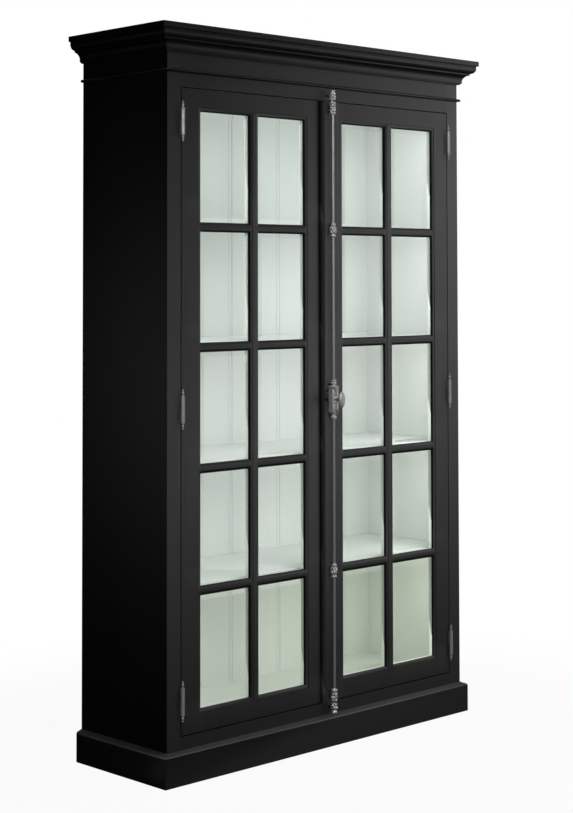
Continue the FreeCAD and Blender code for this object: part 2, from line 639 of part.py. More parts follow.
def cremone_case(screws):
    """Rounded case, hollow behind, with screw ears at its sides."""
    half_w = CASE_W / 2
    case = box(ROD_X - half_w, ROD_X + half_w, CASE_FRONT, ASTRAGAL_FACE,
               CASE_Z - CASE_H / 2, CASE_Z + CASE_H / 2)
    case = case.makeFillet(5.0, edges_at(case, "Y", CASE_FRONT))
    boss = cylinder(ROD_X, CASE_FRONT + 1.0, CASE_Z, 9.0, 4.5, FORWARD)
    case = fuse([case] + case_collar(1) + case_collar(-1) + [boss])

    cavity_half_w = RACK_BACK + 0.35
    cavity = box(ROD_X - cavity_half_w, ROD_X + cavity_half_w, -29.5, ASTRAGAL_FACE + 1,
                 CASE_Z - 34.5, CASE_Z + 34.5)
    rod_bore = cylinder(ROD_X, ROD_Y, CASE_Z - 90, ROD_R + SLIDE_CLEAR, 180)
    spindle_bore = cylinder(ROD_X, ASTRAGAL_FACE + 1, CASE_Z, SPINDLE_R + SLIDE_CLEAR,
                            40.0, FORWARD)
    case = case.cut([cavity, rod_bore, spindle_bore])

    ear_x = half_w + EAR_W
    ears = [box(ROD_X - ear_x, ROD_X + ear_x, ASTRAGAL_FACE - EAR_T, ASTRAGAL_FACE,
                z - EAR_HALF_H, z + EAR_HALF_H).cut(cavity)
            for z in (CASE_Z + EAR_DZ, CASE_Z - EAR_DZ)]
    return fuse([case] + ears).cut(screws)


def astragal(screws):
    """Cover strip on the right door's meeting stile."""
    strip = box(RIGHT_X0, RIGHT_X0 + ASTRAGAL_W, ASTRAGAL_FACE, 0, DOOR_Z0, DOOR_Z1)
    long_edges = [e for e in edges_at(strip, "Y", ASTRAGAL_FACE) if e.BoundBox.ZLength > 100]
    return strip.makeFillet(7.0, long_edges).cut(screws)


case_screws = [
    screw(ROD_X + side * (CASE_W / 2 + EAR_W / 2), ASTRAGAL_FACE - EAR_T, CASE_Z + up * EAR_DZ,
          (0, 1, 0), **FACE_SCREW)
    for up in (1, -1) for side in (1, -1)]
export("cremone_screws", *case_screws)
export("cremone_case", cremone_case(case_screws))
export("astragal", astragal(case_screws))


# ================================================================ knob
def cremone_knob():
    """Round neck and upright oval grip, bored for the spindle."""
    neck = cylinder(ROD_X, -38.6, CASE_Z, 6.0, 20.0, FORWARD)
    stretch = FreeCAD.Matrix()
    stretch.scale(*KNOB_SCALE)
    grip = Part.makeSphere(KNOB_BALL_R).transformGeometry(stretch)
    grip.translate(Vector(ROD_X, KNOB_Y, CASE_Z))
    return fuse([neck, grip]).cut(
        cylinder(ROD_X, -31.6, CASE_Z, SPINDLE_R, 22.0, FORWARD))


export("cremone_knob", cremone_knob())

# ================================================================ rod guides, keepers
WAIST_R, LOBE_R = 6.6, 9.6
FOOT_HALF_W = 7.0
GUIDE_BORE_R = ROD_R + SLIDE_CLEAR
KEEPER_BORE_R = ROD_R + 0.35

# heights of the lobes, bottom, top
GUIDES = [([2074.0, 2088.0, 2102.0], 2067.0, 2109.5),
          ([151.5, 165.5, 180.0], 144.2, 187.5)]
GUIDES += [([z - 15.0, z, z + 15.0], z - 22.5, z + 22.5) for z in (1684.0, 569.0)]
KEEPERS = [([2120.0, 2134.0], 2113.6, 2146.5),
           ([120.0, 133.5], 106.0, 139.8)]


def lobed_guide(lobes, z0, z1, back_y, bore_r):
    """Turned guide with rounded lobes, on a foot that reaches back to back_y."""
    limits = [(a + b) / 2 for a, b in zip(lobes, lobes[1:])]
    limits = [z0 + 0.4] + limits + [z1 - 0.4]
    points = [(0, z0), (WAIST_R, z0)]
    for lobe, low, high in zip(lobes, limits, limits[1:]):
        points += [(WAIST_R, low + 0.01), ((LOBE_R, lobe), (WAIST_R, high - 0.01))]
    points += [(WAIST_R, z1), (0, z1)]
    body = turn(ROD_X, ROD_Y, points)
    foot = box(ROD_X - FOOT_HALF_W, ROD_X + FOOT_HALF_W, ROD_Y, back_y, z0, z1)
    guide = fuse([body, foot])
    guide = guide.common(box(ROD_X - 40, ROD_X + 40, -60, back_y, z0 - 1, z1 + 1))
    return guide.cut(cylinder(ROD_X, ROD_Y, z0 - 5, bore_r, z1 - z0 + 10))


# guides stand on the astragal, keepers on the face frame
export("cremone_guides", *[lobed_guide(*row, ASTRAGAL_FACE, GUIDE_BORE_R) for row in GUIDES])
export("cremone_keepers", *[lobed_guide(*row, 0.0, KEEPER_BORE_R) for row in KEEPERS])
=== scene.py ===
import json
import math

import bpy
import bmesh
from mathutils import Matrix, Vector

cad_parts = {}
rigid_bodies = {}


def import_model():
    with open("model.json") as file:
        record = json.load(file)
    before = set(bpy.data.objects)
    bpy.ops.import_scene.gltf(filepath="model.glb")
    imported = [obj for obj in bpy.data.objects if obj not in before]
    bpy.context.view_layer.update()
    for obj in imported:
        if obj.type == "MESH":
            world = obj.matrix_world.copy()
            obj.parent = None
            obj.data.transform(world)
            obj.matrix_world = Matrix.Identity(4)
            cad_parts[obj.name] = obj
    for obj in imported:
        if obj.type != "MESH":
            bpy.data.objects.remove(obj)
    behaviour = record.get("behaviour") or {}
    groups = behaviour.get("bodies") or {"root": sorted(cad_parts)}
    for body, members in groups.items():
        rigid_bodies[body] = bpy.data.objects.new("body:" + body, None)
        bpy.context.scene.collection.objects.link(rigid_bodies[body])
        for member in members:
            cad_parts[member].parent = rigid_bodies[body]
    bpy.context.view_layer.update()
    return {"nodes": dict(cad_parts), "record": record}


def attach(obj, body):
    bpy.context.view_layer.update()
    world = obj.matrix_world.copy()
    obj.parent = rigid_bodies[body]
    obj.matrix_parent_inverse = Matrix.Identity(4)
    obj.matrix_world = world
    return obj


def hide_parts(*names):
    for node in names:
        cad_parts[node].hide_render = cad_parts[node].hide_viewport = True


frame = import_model()
N = frame["nodes"]
scene = bpy.context.scene


# ============================================================ node helpers
class G:
    """Small helper that builds a material's node tree."""

    def __init__(self, name):
        self.m = bpy.data.materials.new(name)
        self.m.use_nodes = True
        self.t = self.m.node_tree
        self.t.nodes.clear()
        self.out = self.t.nodes.new("ShaderNodeOutputMaterial")

    def n(self, kind, **kw):
        node = self.t.nodes.new(kind)
        for k, v in kw.items():
            setattr(node, k, v)
        return node

    def link(self, a, b):
        self.t.links.new(a, b)

    def put(self, sock, v):
        if isinstance(v, bpy.types.NodeSocket):
            self.link(v, sock)
        elif v is not None:
            sock.default_value = v

    def coord(self, scale=(1, 1, 1), offset=(0, 0, 0)):
        tc = self.n("ShaderNodeTexCoord")
        mp = self.n("ShaderNodeMapping")
        mp.inputs["Scale"].default_value = scale
        mp.inputs["Location"].default_value = offset
        self.link(tc.outputs["Object"], mp.inputs["Vector"])
        return mp.outputs["Vector"]

    def noise(self, scale, vec=None, detail=3.0, rough=0.55, dist=0.0):
        nd = self.n("ShaderNodeTexNoise")
        nd.inputs["Scale"].default_value = scale
        nd.inputs["Detail"].default_value = detail
        nd.inputs["Roughness"].default_value = rough
        nd.inputs["Distortion"].default_value = dist
        if vec is not None:
            self.link(vec, nd.inputs["Vector"])
        return nd.outputs["Fac"]

    def ramp(self, fac, stops):
        r = self.n("ShaderNodeValToRGB")
        el = r.color_ramp.elements
        while len(el) > 2:
            el.remove(el[-1])
        el[0].position, el[0].color = stops[0][0], self.c4(stops[0][1])
        el[1].position, el[1].color = stops[-1][0], self.c4(stops[-1][1])
        for p, c in stops[1:-1]:
            e = el.new(p)
            e.color = self.c4(c)
        self.link(fac, r.inputs["Fac"])
        return r.outputs["Color"]

    @staticmethod
    def c4(c):
        if isinstance(c, (int, float)):
            return (c, c, c, 1)
        return tuple(c) + (1,) if len(c) == 3 else tuple(c)

    def math(self, op, a, b=None, c=None, clamp=False):
        nd = self.n("ShaderNodeMath", operation=op)
        nd.use_clamp = clamp
        self.put(nd.inputs[0], a)
        if b is not None:
            self.put(nd.inputs[1], b)
        if c is not None:
            self.put(nd.inputs[2], c)
        return nd.outputs[0]

    def remap(self, v, a, b, c, d, smooth=False):
        nd = self.n("ShaderNodeMapRange")
        nd.interpolation_type = "SMOOTHSTEP" if smooth else "LINEAR"
        self.put(nd.inputs["Value"], v)
        nd.inputs["From Min"].default_value = a
        nd.inputs["From Max"].default_value = b
        nd.inputs["To Min"].default_value = c
        nd.inputs["To Max"].default_value = d
        return nd.outputs["Result"]

    def mixc(self, fac, a, b, mode="MIX"):
        nd = self.n("ShaderNodeMix", data_type="RGBA", blend_type=mode)
        self.put(nd.inputs[0], fac)
        self.put(nd.inputs[6], a if isinstance(a, bpy.types.NodeSocket) else self.c4(a))
        self.put(nd.inputs[7], b if isinstance(b, bpy.types.NodeSocket) else self.c4(b))
        return nd.outputs[2]

    def bump(self, height, dist, strength=1.0, normal=None):
        nd = self.n("ShaderNodeBump")
        nd.inputs["Strength"].default_value = strength
        nd.inputs["Distance"].default_value = dist
        self.link(height, nd.inputs["Height"])
        if normal is not None:
            self.link(normal, nd.inputs["Normal"])
        return nd.outputs["Normal"]

    def edge(self, radius, samples=4):
        """0 on flats, rising to 1 on worn arrises; and the rounded normal."""
        bv = self.n("ShaderNodeBevel")
        bv.samples = samples
        bv.inputs["Radius"].default_value = radius
        geo = self.n("ShaderNodeNewGeometry")
        dot = self.n("ShaderNodeVectorMath", operation="DOT_PRODUCT")
        self.link(bv.outputs["Normal"], dot.inputs[0])
        self.link(geo.outputs["Normal"], dot.inputs[1])
        return self.remap(dot.outputs["Value"], 0.995, 0.80, 0.0, 1.0), bv.outputs["Normal"]

    def grey(self, v):
        c = self.n("ShaderNodeCombineColor")
        for i in range(3):
            self.link(v, c.inputs[i])
        return c.outputs[0]

    def cavity(self, dist, samples=6, local=True):
        ao = self.n("ShaderNodeAmbientOcclusion")
        ao.samples = samples
        ao.only_local = local
        ao.inputs["Distance"].default_value = dist
        return ao.outputs["AO"]

    def principled(self, **kw):
        p = self.n("ShaderNodeBsdfPrincipled")
        for k, v in kw.items():
            s = p.inputs[k]
            if k in ("Base Color", "Specular Tint") and not isinstance(v, bpy.types.NodeSocket):
                v = self.c4(v)
            self.put(s, v)
        return p

    def done(self, shader):
        self.link(shader, self.out.inputs["Surface"])
        return self.m

    def airy(self, shader, share):
        """Lets that share of mirrored and shadow rays pass, for slim fittings
        that would otherwise smear the satin paint behind them."""
        tr = self.n("ShaderNodeBsdfTransparent")
        lp = self.n("ShaderNodeLightPath")
        any_ = self.math("MAXIMUM", lp.outputs["Is Shadow Ray"], lp.outputs["Is Glossy Ray"], clamp=True)
        mx = self.n("ShaderNodeMixShader")
        self.link(self.math("MULTIPLY", any_, share), mx.inputs[0])
        self.link(shader, mx.inputs[1])
        self.link(tr.outputs[0], mx.inputs[2])
        return mx.outputs[0]


# ============================================================ materials
def black_paint(name, grain, sheen=1.0, flat=0.0, painted_lit_side=None, painted_sheen_ramp=None, crease_shade_range=(0.25, 0.75, 0.30), painted_side_shade=(0.60, 1.0)):
    """Satin black paint over wood: brush strokes and a faint open grain that
    run along the piece, a slightly uneven sheen and lighter worn arrises, with painted shade in the creases and
    optional painted light and shade on chosen sides and across x."""
    g = G(name)
    long, across = 3.0, 150.0
    sc = [across] * 3
    sc["xyz".index(grain)] = long
    v_grain = g.coord(tuple(sc))
    strokes = g.noise(1.0, v_grain, 4.0, 0.62, 0.3)
    sc2 = [620.0] * 3
    sc2["xyz".index(grain)] = 22.0
    pores = g.noise(1.0, g.coord(tuple(sc2), (3, 1, 7)), 2.0, 0.6)
    v = g.coord()
    cloud = g.noise(2.3, v, 3.0, 0.5)
    fine = g.noise(1400.0, v, 2.0, 0.5)
    edge, rounded = g.edge(0.0007)
    # painted shade: ambient occlusion darkens the colour and the sheen in creases and corners
    crease_shade = g.remap(g.cavity(0.0045, 6, False), crease_shade_range[0], crease_shade_range[1], crease_shade_range[2], 1.0)
    col = g.ramp(cloud, [(0.3, (0.0028, 0.0028, 0.0029)), (0.7, (0.0042, 0.0042, 0.0043))])
    col = g.mixc(g.remap(strokes, 0.35, 0.7, 0.0, 0.35), col, (0.0065, 0.0064, 0.0063))
    patch = g.noise(38.0, v, 4.0, 0.7)
    wear = g.math("MULTIPLY", edge, g.remap(patch, 0.45, 0.72, 0.10, 0.75), clamp=True)
    col = g.mixc(wear, col, (0.030, 0.029, 0.028))
    rough = g.math("ADD", g.remap(cloud, 0.2, 0.8, 0.36, 0.46), g.remap(strokes, 0.3, 0.7, -0.035, 0.035))
    rough = g.math("SUBTRACT", rough, g.math("MULTIPLY", wear, 0.10))
    height = g.math("ADD", g.math("MULTIPLY", strokes, 0.9), g.math("MULTIPLY", g.remap(pores, 0.40, 0.56, 0.0, 1.0), 0.35))
    height = g.math("ADD", height, g.math("MULTIPLY", fine, 0.10))
    nrm = g.bump(height, 0.00010, 0.55, rounded)
    if painted_lit_side:
        # painted light: one side of the moulding gets a paler base colour, as if lit from that side
        tc = g.n("ShaderNodeTexCoord")
        sp = g.n("ShaderNodeSeparateXYZ")
        g.link(tc.outputs["Normal"], sp.inputs[0])
        axis, sign, lo, hi, painted_light = painted_lit_side
        col = g.mixc(g.remap(g.math("MULTIPLY", sp.outputs[axis], sign), lo, hi, 0.0, 1.0, True), col, (painted_light, painted_light, painted_light * 0.99))
    shine = g.math("MULTIPLY", crease_shade, sheen)
    # painted light and shade: the sheen is ramped up or down across x, as if the light fell more on one end
    if painted_sheen_ramp:
        so = g.n("ShaderNodeSeparateXYZ")
        g.link(v, so.inputs[0])
        shine = g.math("MULTIPLY", shine, g.remap(so.outputs["X"], painted_sheen_ramp[0], painted_sheen_ramp[1], painted_sheen_ramp[2], painted_sheen_ramp[3]))
    if painted_side_shade:
        # painted shade: surfaces that look left or down, such as the narrow sides of the glazing frame, keep less of
        # the sheen, as if they stood in shade
        tr = g.n("ShaderNodeTexCoord")
        sr = g.n("ShaderNodeSeparateXYZ")
        g.link(tr.outputs["Normal"], sr.inputs[0])
        left_face_shade = g.remap(g.math("MULTIPLY", sr.outputs["X"], -1.0), 0.18, 0.65, 1.0, painted_side_shade[0], True)
        down_face_shade = g.remap(g.math("MULTIPLY", sr.outputs["Z"], -1.0), 0.25, 0.75, 1.0, painted_side_shade[1], True)
        shine = g.math("MULTIPLY", shine, g.math("MULTIPLY", left_face_shade, down_face_shade))
    tint = g.grey(shine)
    p = g.principled(**{"Base Color": g.mixc(1.0, col, g.grey(crease_shade), "MULTIPLY"), "Roughness": g.math("ADD", rough, flat),
                        "Normal": nrm, "IOR": 1.48, "Specular Tint": tint})
    return g.done(p.outputs[0])


def white_paint(name, grain, painted_light=False):
    """Satin off-white paint on boards, with brush strokes and a soft tone
    difference from board to board, painted shade in the corners and optional painted light on the upward faces."""
    g = G(name)
    sc = [95.0] * 3
    sc["xyz".index(grain)] = 2.2
    strokes = g.noise(1.0, g.coord(tuple(sc)), 4.0, 0.6, 0.2)
    v = g.coord()
    cloud = g.noise(1.7, v, 2.0, 0.5)
    fine = g.noise(900.0, v, 2.0, 0.5)
    edge, rounded = g.edge(0.0012)
    col = g.ramp(cloud, [(0.3, (0.790, 0.815, 0.790)), (0.7, (0.835, 0.850, 0.830))])
    col = g.mixc(g.remap(strokes, 0.35, 0.75, 0.0, 0.30), col, (0.74, 0.77, 0.745))
    if painted_light:
        # painted light: the upward faces are paled as if lit from above, more strongly towards the left end
        tc = g.n("ShaderNodeTexCoord")
        sp = g.n("ShaderNodeSeparateXYZ")
        g.link(tc.outputs["Normal"], sp.inputs[0])
        so = g.n("ShaderNodeSeparateXYZ")
        g.link(v, so.inputs[0])
        share = g.math("MULTIPLY", g.remap(sp.outputs["Z"], 0.4, 0.9, 0.0, 1.0), g.remap(so.outputs["X"], -0.1, 0.45, 0.95, 0.25))
        col = g.mixc(share, col, (0.955, 0.970, 0.960))
    # painted shade: ambient occlusion darkens the white in corners and recesses
    cav = g.cavity(0.03)
    col = g.mixc(g.remap(cav, 0.35, 0.85, 0.35, 0.0), col, (0.50, 0.52, 0.49), "MULTIPLY")
    wear = g.math("MULTIPLY", edge, g.remap(g.noise(60.0, v, 3.0, 0.7), 0.5, 0.7, 0.0, 0.4), clamp=True)
    col = g.mixc(wear, col, (0.62, 0.60, 0.55))
    rough = g.math("ADD", g.remap(cloud, 0.2, 0.8, 0.44, 0.52), g.remap(strokes, 0.3, 0.7, -0.03, 0.03))
    height = g.math("ADD", g.math("MULTIPLY", strokes, 1.0), g.math("MULTIPLY", fine, 0.15))
    nrm = g.bump(height, 0.00012, 0.5, rounded)
    p = g.principled(**{"Base Color": col, "Roughness": rough, "Normal": nrm})
    return g.done(p.outputs[0])


def bare_wood(name):
    g = G(name)
    v = g.coord((1.0, 14.0, 14.0))
    rings = g.n("ShaderNodeTexWave", wave_type="BANDS", bands_direction="Y")
    rings.inputs["Scale"].default_value = 2.4
    rings.inputs["Distortion"].default_value = 5.0
    rings.inputs["Detail"].default_value = 3.0
    rings.inputs["Detail Scale"].default_value = 1.2
    g.link(v, rings.inputs["Vector"])
    fibre = g.noise(1.0, g.coord((8.0, 420.0, 420.0)), 3.0, 0.6)
    col = g.ramp(rings.outputs["Fac"], [(0.1, (0.52, 0.36, 0.20)), (0.6, (0.46, 0.30, 0.16)), (0.95, (0.30, 0.18, 0.09))])
    col = g.mixc(g.remap(fibre, 0.35, 0.75, 0.0, 0.5), col, (0.60, 0.45, 0.28))
    edge, rounded = g.edge(0.0012)
    nrm = g.bump(fibre, 0.0002, 0.5, rounded)
    p = g.principled(**{"Base Color": col, "Roughness": g.remap(fibre, 0.3, 0.7, 0.60, 0.78), "Normal": nrm})
    return g.done(p.outputs[0])


def glass(name):
    """Clear bevelled glass. Shadow and diffuse rays pass straight through
    with a faint green tint, so that the interior is lit through the panes."""
    g = G(name)
    v = g.coord()
    wave = g.noise(5.0, v, 2.0, 0.4)
    smear = g.noise(24.0, g.coord((1.0, 1.0, 0.45)), 4.0, 0.6)
    rough = g.remap(smear, 0.45, 0.80, 0.0, 0.010)
    nrm = g.bump(wave, 0.00030, 0.15)
    p = g.principled(**{"Base Color": (0.965, 0.985, 0.972), "Roughness": rough, "IOR": 1.5,
                        "Transmission Weight": 1.0, "Normal": nrm})
    tr = g.n("ShaderNodeBsdfTransparent")
    tr.inputs["Color"].default_value = (0.93, 0.96, 0.94, 1)
    lp = g.n("ShaderNodeLightPath")
    through = g.math("MAXIMUM", lp.outputs["Is Shadow Ray"], lp.outputs["Is Diffuse Ray"], clamp=True)
    mx = g.n("ShaderNodeMixShader")
    g.link(through, mx.inputs[0])
    g.link(p.outputs[0], mx.inputs[1])
    g.link(tr.outputs[0], mx.inputs[2])
    return g.done(mx.outputs[0])


def pewter(name, dark=0.014, mid=0.105, high_c=0.45, share=0.88, smooth=0.27):
    """Antique pewter plating: dark in the hollows, burnished on the high
    spots, finely cast skin."""
    g = G(name)
    v = g.coord()
    cast = g.noise(900.0, v, 3.0, 0.6)
    patina = g.noise(75.0, v, 4.0, 0.65)
    cav = g.cavity(0.0024, 10)
    edge, rounded = g.edge(0.0005)
    high = g.math("ADD", g.remap(cav, 0.45, 0.97, 0.0, 0.85), g.math("MULTIPLY", edge, 0.45), clamp=True)
    col = g.ramp(high, [(0.0, (dark, dark * 0.95, dark * 0.90)), (0.45, (mid, mid * 0.98, mid * 0.94)), (1.0, (high_c, high_c * 0.98, high_c * 0.95))])
    col = g.mixc(g.remap(patina, 0.4, 0.72, 0.0, 0.30), col, (mid, mid * 0.96, mid * 0.90))
    rough = g.math("ADD", g.remap(high, 0.0, 1.0, 0.60, smooth), g.remap(patina, 0.3, 0.7, -0.05, 0.07))
    nrm = g.bump(cast, 0.00012, 0.5, rounded)
    p = g.principled(**{"Base Color": col, "Metallic": 0.55, "Roughness": rough, "Normal": nrm, "IOR": 1.8})
    return g.done(g.airy(p.outputs[0], share))


def machined(name, c0, c1, r0, r1, grain="z"):
    g = G(name)
    sc = [1500.0] * 3
    sc["xyz".index(grain)] = 60.0
    lines = g.noise(1.0, g.coord(tuple(sc)), 2.0, 0.5)
    patina = g.noise(90.0, g.coord(), 4.0, 0.65)
    edge, rounded = g.edge(0.0006)
    col = g.mixc(g.remap(patina, 0.35, 0.7, 0.0, 1.0), c0, c1)
    col = g.mixc(g.math("MULTIPLY", edge, 0.6), col, tuple(min(1.0, x * 1.7) for x in c1))
    nrm = g.bump(lines, 0.00004, 0.6, rounded)
    p = g.principled(**{"Base Color": col, "Metallic": 1.0, "Roughness": g.remap(lines, 0.3, 0.7, r0, r1), "Normal": nrm})
    return g.done(p.outputs[0])


# The black paints are lit and shaded copies of one satin black: their sheen levels, x ramps and side shade are painted
# light and shade. The rod and hinge pewters are toned-down copies of the plate pewter, painted shade.
M = {
    "black_v": black_paint("black_paint_upright", "z"),
    "black_h": black_paint("black_paint_level", "x", 0.86),
    "black_dv": black_paint("black_paint_door_upright", "z", 1.0, painted_side_shade=(0.22, 0.50)),
    "black_ds": black_paint("black_paint_hinge_stile", "z", 0.86, painted_side_shade=(0.22, 0.50)),
    "black_dh": black_paint("black_paint_door_level", "x", 0.82, painted_side_shade=(0.22, 0.50)),
    "black_c": black_paint("black_paint_crown", "x", 0.72, 0.03, None, (-0.55, 0.45, 0.52, 1.0), (0.40, 0.90, 0.15)),
    # painted light: the astragal's left side and the base cap's upward faces get a paler base colour
    "black_a": black_paint("black_paint_astragal", "z", 1.0, 0.0, ("X", -1.0, 0.25, 0.85, 0.044), painted_side_shade=None),
    "black_p": black_paint("black_paint_plinth", "x", 1.0, 0.0, None, (-0.65, 0.65, 1.26, 0.66), painted_side_shade=None),
    "black_b": black_paint("black_paint_base_cap", "x", 0.9, 0.0, ("Z", 1.0, 0.08, 0.55, 0.055), painted_side_shade=None),
    "white_v": white_paint("white_paint_upright", "z"),
    "white_h": white_paint("white_paint_level", "x"),
    "white_s": white_paint("white_paint_shelf", "x", True),
    "bare": bare_wood("bare_softwood"),
    "glass": glass("bevelled_glass_clear"),
    "pewter": pewter("antique_pewter_plate"),
    "pewter_rod": pewter("antique_pewter_rod", 0.02, 0.08, 0.16, 0.88, 0.38),
    "pewter_knob": pewter("antique_pewter_knob", 0.03, 0.13, 0.28, 0.75, 0.36),
    "pewter_hinge": pewter("antique_pewter_hinge", 0.02, 0.10, 0.22, 0.88, 0.46),
    "steel": machined("plain_steel", (0.42, 0.42, 0.43), (0.56, 0.56, 0.57), 0.26, 0.42),
    "screws": machined("browned_steel", (0.10, 0.095, 0.09), (0.20, 0.19, 0.18), 0.32, 0.5, "x"),
    "brass": machined("plain_brass", (0.60, 0.43, 0.18), (0.78, 0.60, 0.30), 0.22, 0.4, "x"),
}

LEVEL_BLACK = ("face_top_rail", "face_bottom_rail", "frieze_board", "top_board", "crown_front", "crown_returns", "neck_bead",
               "plinth_boards", "base_cap", "left_top_rail", "left_bottom_rail", "right_top_rail", "right_bottom_rail",
               "left_horizontal_muntins", "right_horizontal_muntins")
SLOTS = {s["node"]: s["material_slot"] for s in frame["record"]["subparts"]}


def mat_for(node):
    s = SLOTS[node]
    if node in ("crown_front", "crown_returns", "top_board"):
        return M["black_c"]
    if node == "plinth_boards":
        return M["black_p"]
    if node in ("astragal", "base_cap"):
        return M["black_a" if node == "astragal" else "black_b"]
    if s == "antique_pewter" and "hinge" in node:
        return M["pewter_hinge"]
    if s == "antique_pewter" and node in ("cremone_rod_upper", "cremone_rod_lower", "cremone_knob"):
        return M["pewter_knob" if node == "cremone_knob" else "pewter_rod"]
    if s == "black_paint" and node.startswith(("left_", "right_")):
        return M["black_dh" if node in LEVEL_BLACK else "black_ds" if node.endswith("hinge_stile") else "black_dv"]
    if s == "black_paint":
        return M["black_h" if node in LEVEL_BLACK else "black_v"]
    if s == "white_paint" and (node.startswith("shel") or node == "floor_panel"):
        return M["white_s"]
    if s == "white_paint":
        return M["white_v" if node in ("back_boards", "side_liner_left", "side_liner_right") or "beads" in node else "white_h"]
    return M[{"bare_wood": "bare", "bevelled_glass": "glass", "antique_pewter": "pewter", "steel": "steel",
              "dark_screws": "screws", "brass_pins": "brass"}[s]]


# ============================================================ shading of the carried-over nodes
def smooth_group():
    ng = bpy.data.node_groups.new("smooth_by_angle", "GeometryNodeTree")
    ng.interface.new_socket(name="Geometry", in_out="INPUT", socket_type="NodeSocketGeometry")
    a = ng.interface.new_socket(name="Angle", in_out="INPUT", socket_type="NodeSocketFloat")
    a.default_value = 0.6
    ng.interface.new_socket(name="Geometry", in_out="OUTPUT", socket_type="NodeSocketGeometry")
    gi, go = ng.nodes.new("NodeGroupInput"), ng.nodes.new("NodeGroupOutput")
    ang = ng.nodes.new("GeometryNodeInputMeshEdgeAngle")
    cmp = ng.nodes.new("FunctionNodeCompare")
    cmp.data_type, cmp.operation = "FLOAT", "GREATER_THAN"
    sn = ng.nodes.new("GeometryNodeSetMeshNormal")
    sn.mode = "SHARPNESS"
    ng.links.new(ang.outputs["Unsigned Angle"], cmp.inputs[0])
    ng.links.new(gi.outputs["Angle"], cmp.inputs[1])
    ng.links.new(gi.outputs["Geometry"], sn.inputs["Mesh"])
    sn.inputs["Remove Custom"].default_value = True
    ng.links.new(cmp.outputs["Result"], sn.inputs["Edge Sharpness"])
    sn.inputs["Face Sharpness"].default_value = False
    ng.links.new(sn.outputs["Mesh"], go.inputs["Geometry"])
    return ng


SMOOTH = smooth_group()


def add_smooth(o, angle):
    md = o.modifiers.new("smooth", "NODES")
    md.node_group = SMOOTH
    key = [i.identifier for i in SMOOTH.interface.items_tree if getattr(i, "in_out", "") == "INPUT" and i.name == "Angle"][0]
    md[key] = angle


def weld(o, d=0.00001):
    w = o.modifiers.new("weld", "WELD")
    w.merge_threshold = d


def arris(o, width, segs=2, angle=35):
    b = o.modifiers.new("arris", "BEVEL")
    b.width = width
    b.segments = segs
    b.limit_method = "ANGLE"
    b.angle_limit = math.radians(angle)
    b.use_clamp_overlap = True
    b.miter_outer = "MITER_SHARP"


ROUNDED = {"crown_front": 0.0004, "crown_returns": 0.0004, "top_board": 0.0006, "neck_bead": 0.0004, "plinth_boards": 0.0012,
           "base_cap": 0.0004, "side_panel_left": 0.0007, "side_panel_right": 0.0007, "astragal": 0.0005,
           "ceiling_panel": 0.0008, "floor_panel": 0.0008, "plinth_blocks": 0.0010,
           "left_glazing_beads": 0.0008, "right_glazing_beads": 0.0008, "left_bolt_plates": 0.0003}
for name, o in N.items():
    o.data.materials.clear()
    o.data.materials.append(mat_for(name))
    for poly in o.data.polygons:
        poly.material_index = 0
    if SLOTS[name] == "bevelled_glass":
        continue
    weld(o)
    if name in ROUNDED:
        arris(o, ROUNDED[name])
        add_smooth(o, math.radians(178))
        wn = o.modifiers.new("weighted", "WEIGHTED_NORMAL")
        wn.mode, wn.weight, wn.keep_sharp = "FACE_AREA", 50, False
    else:
        add_smooth(o, math.radians(32))

# ============================================================ cast fittings
def P3(x, y, z):
    """Row frame point from the cabinet's own millimetres."""
    return Vector(((x - 650.0) / 1000.0, (y - 182.0) / 1000.0, z / 1000.0))


ROD_X, ROD_Y, FACE_Y, CASE_Z = 668.5, -23.5, -15.0, 1128.0


def lumps(rows, n, amp, wide, tall, tilt, r0):
    """Relief of overlapping leaf lobes in staggered rings."""
    def f(th, z):
        best = 0.0
        for i, zc in enumerate(rows):
            v = (z - zc) / tall
            if abs(v) >= 1.0:
                continue
            for k in range(n):
                c = 2 * math.pi * (k + 0.5 * (i % 2)) / n
                d = (th - c + math.pi) % (2 * math.pi) - math.pi
                u = d * r0 / wide + tilt * v * (1 if i % 2 else -1)
                q = 1.0 - u * u - v * v
                if q > 0:
                    # a shallow groove along each lobe, like a midrib
                    best = max(best, amp * (math.sqrt(q) - 0.22 * math.exp(-(u / 0.16) ** 2)))
        return best
    return f


def smooth_profile(pts, z):
    """Radius at height z through (z, r) points, eased between them."""
    for (z0, r0), (z1, r1) in zip(pts, pts[1:]):
        if z0 <= z <= z1:
            t = (z - z0) / (z1 - z0)
            t = t * t * (3 - 2 * t)
            return r0 + (r1 - r0) * t
    return pts[-1][1]


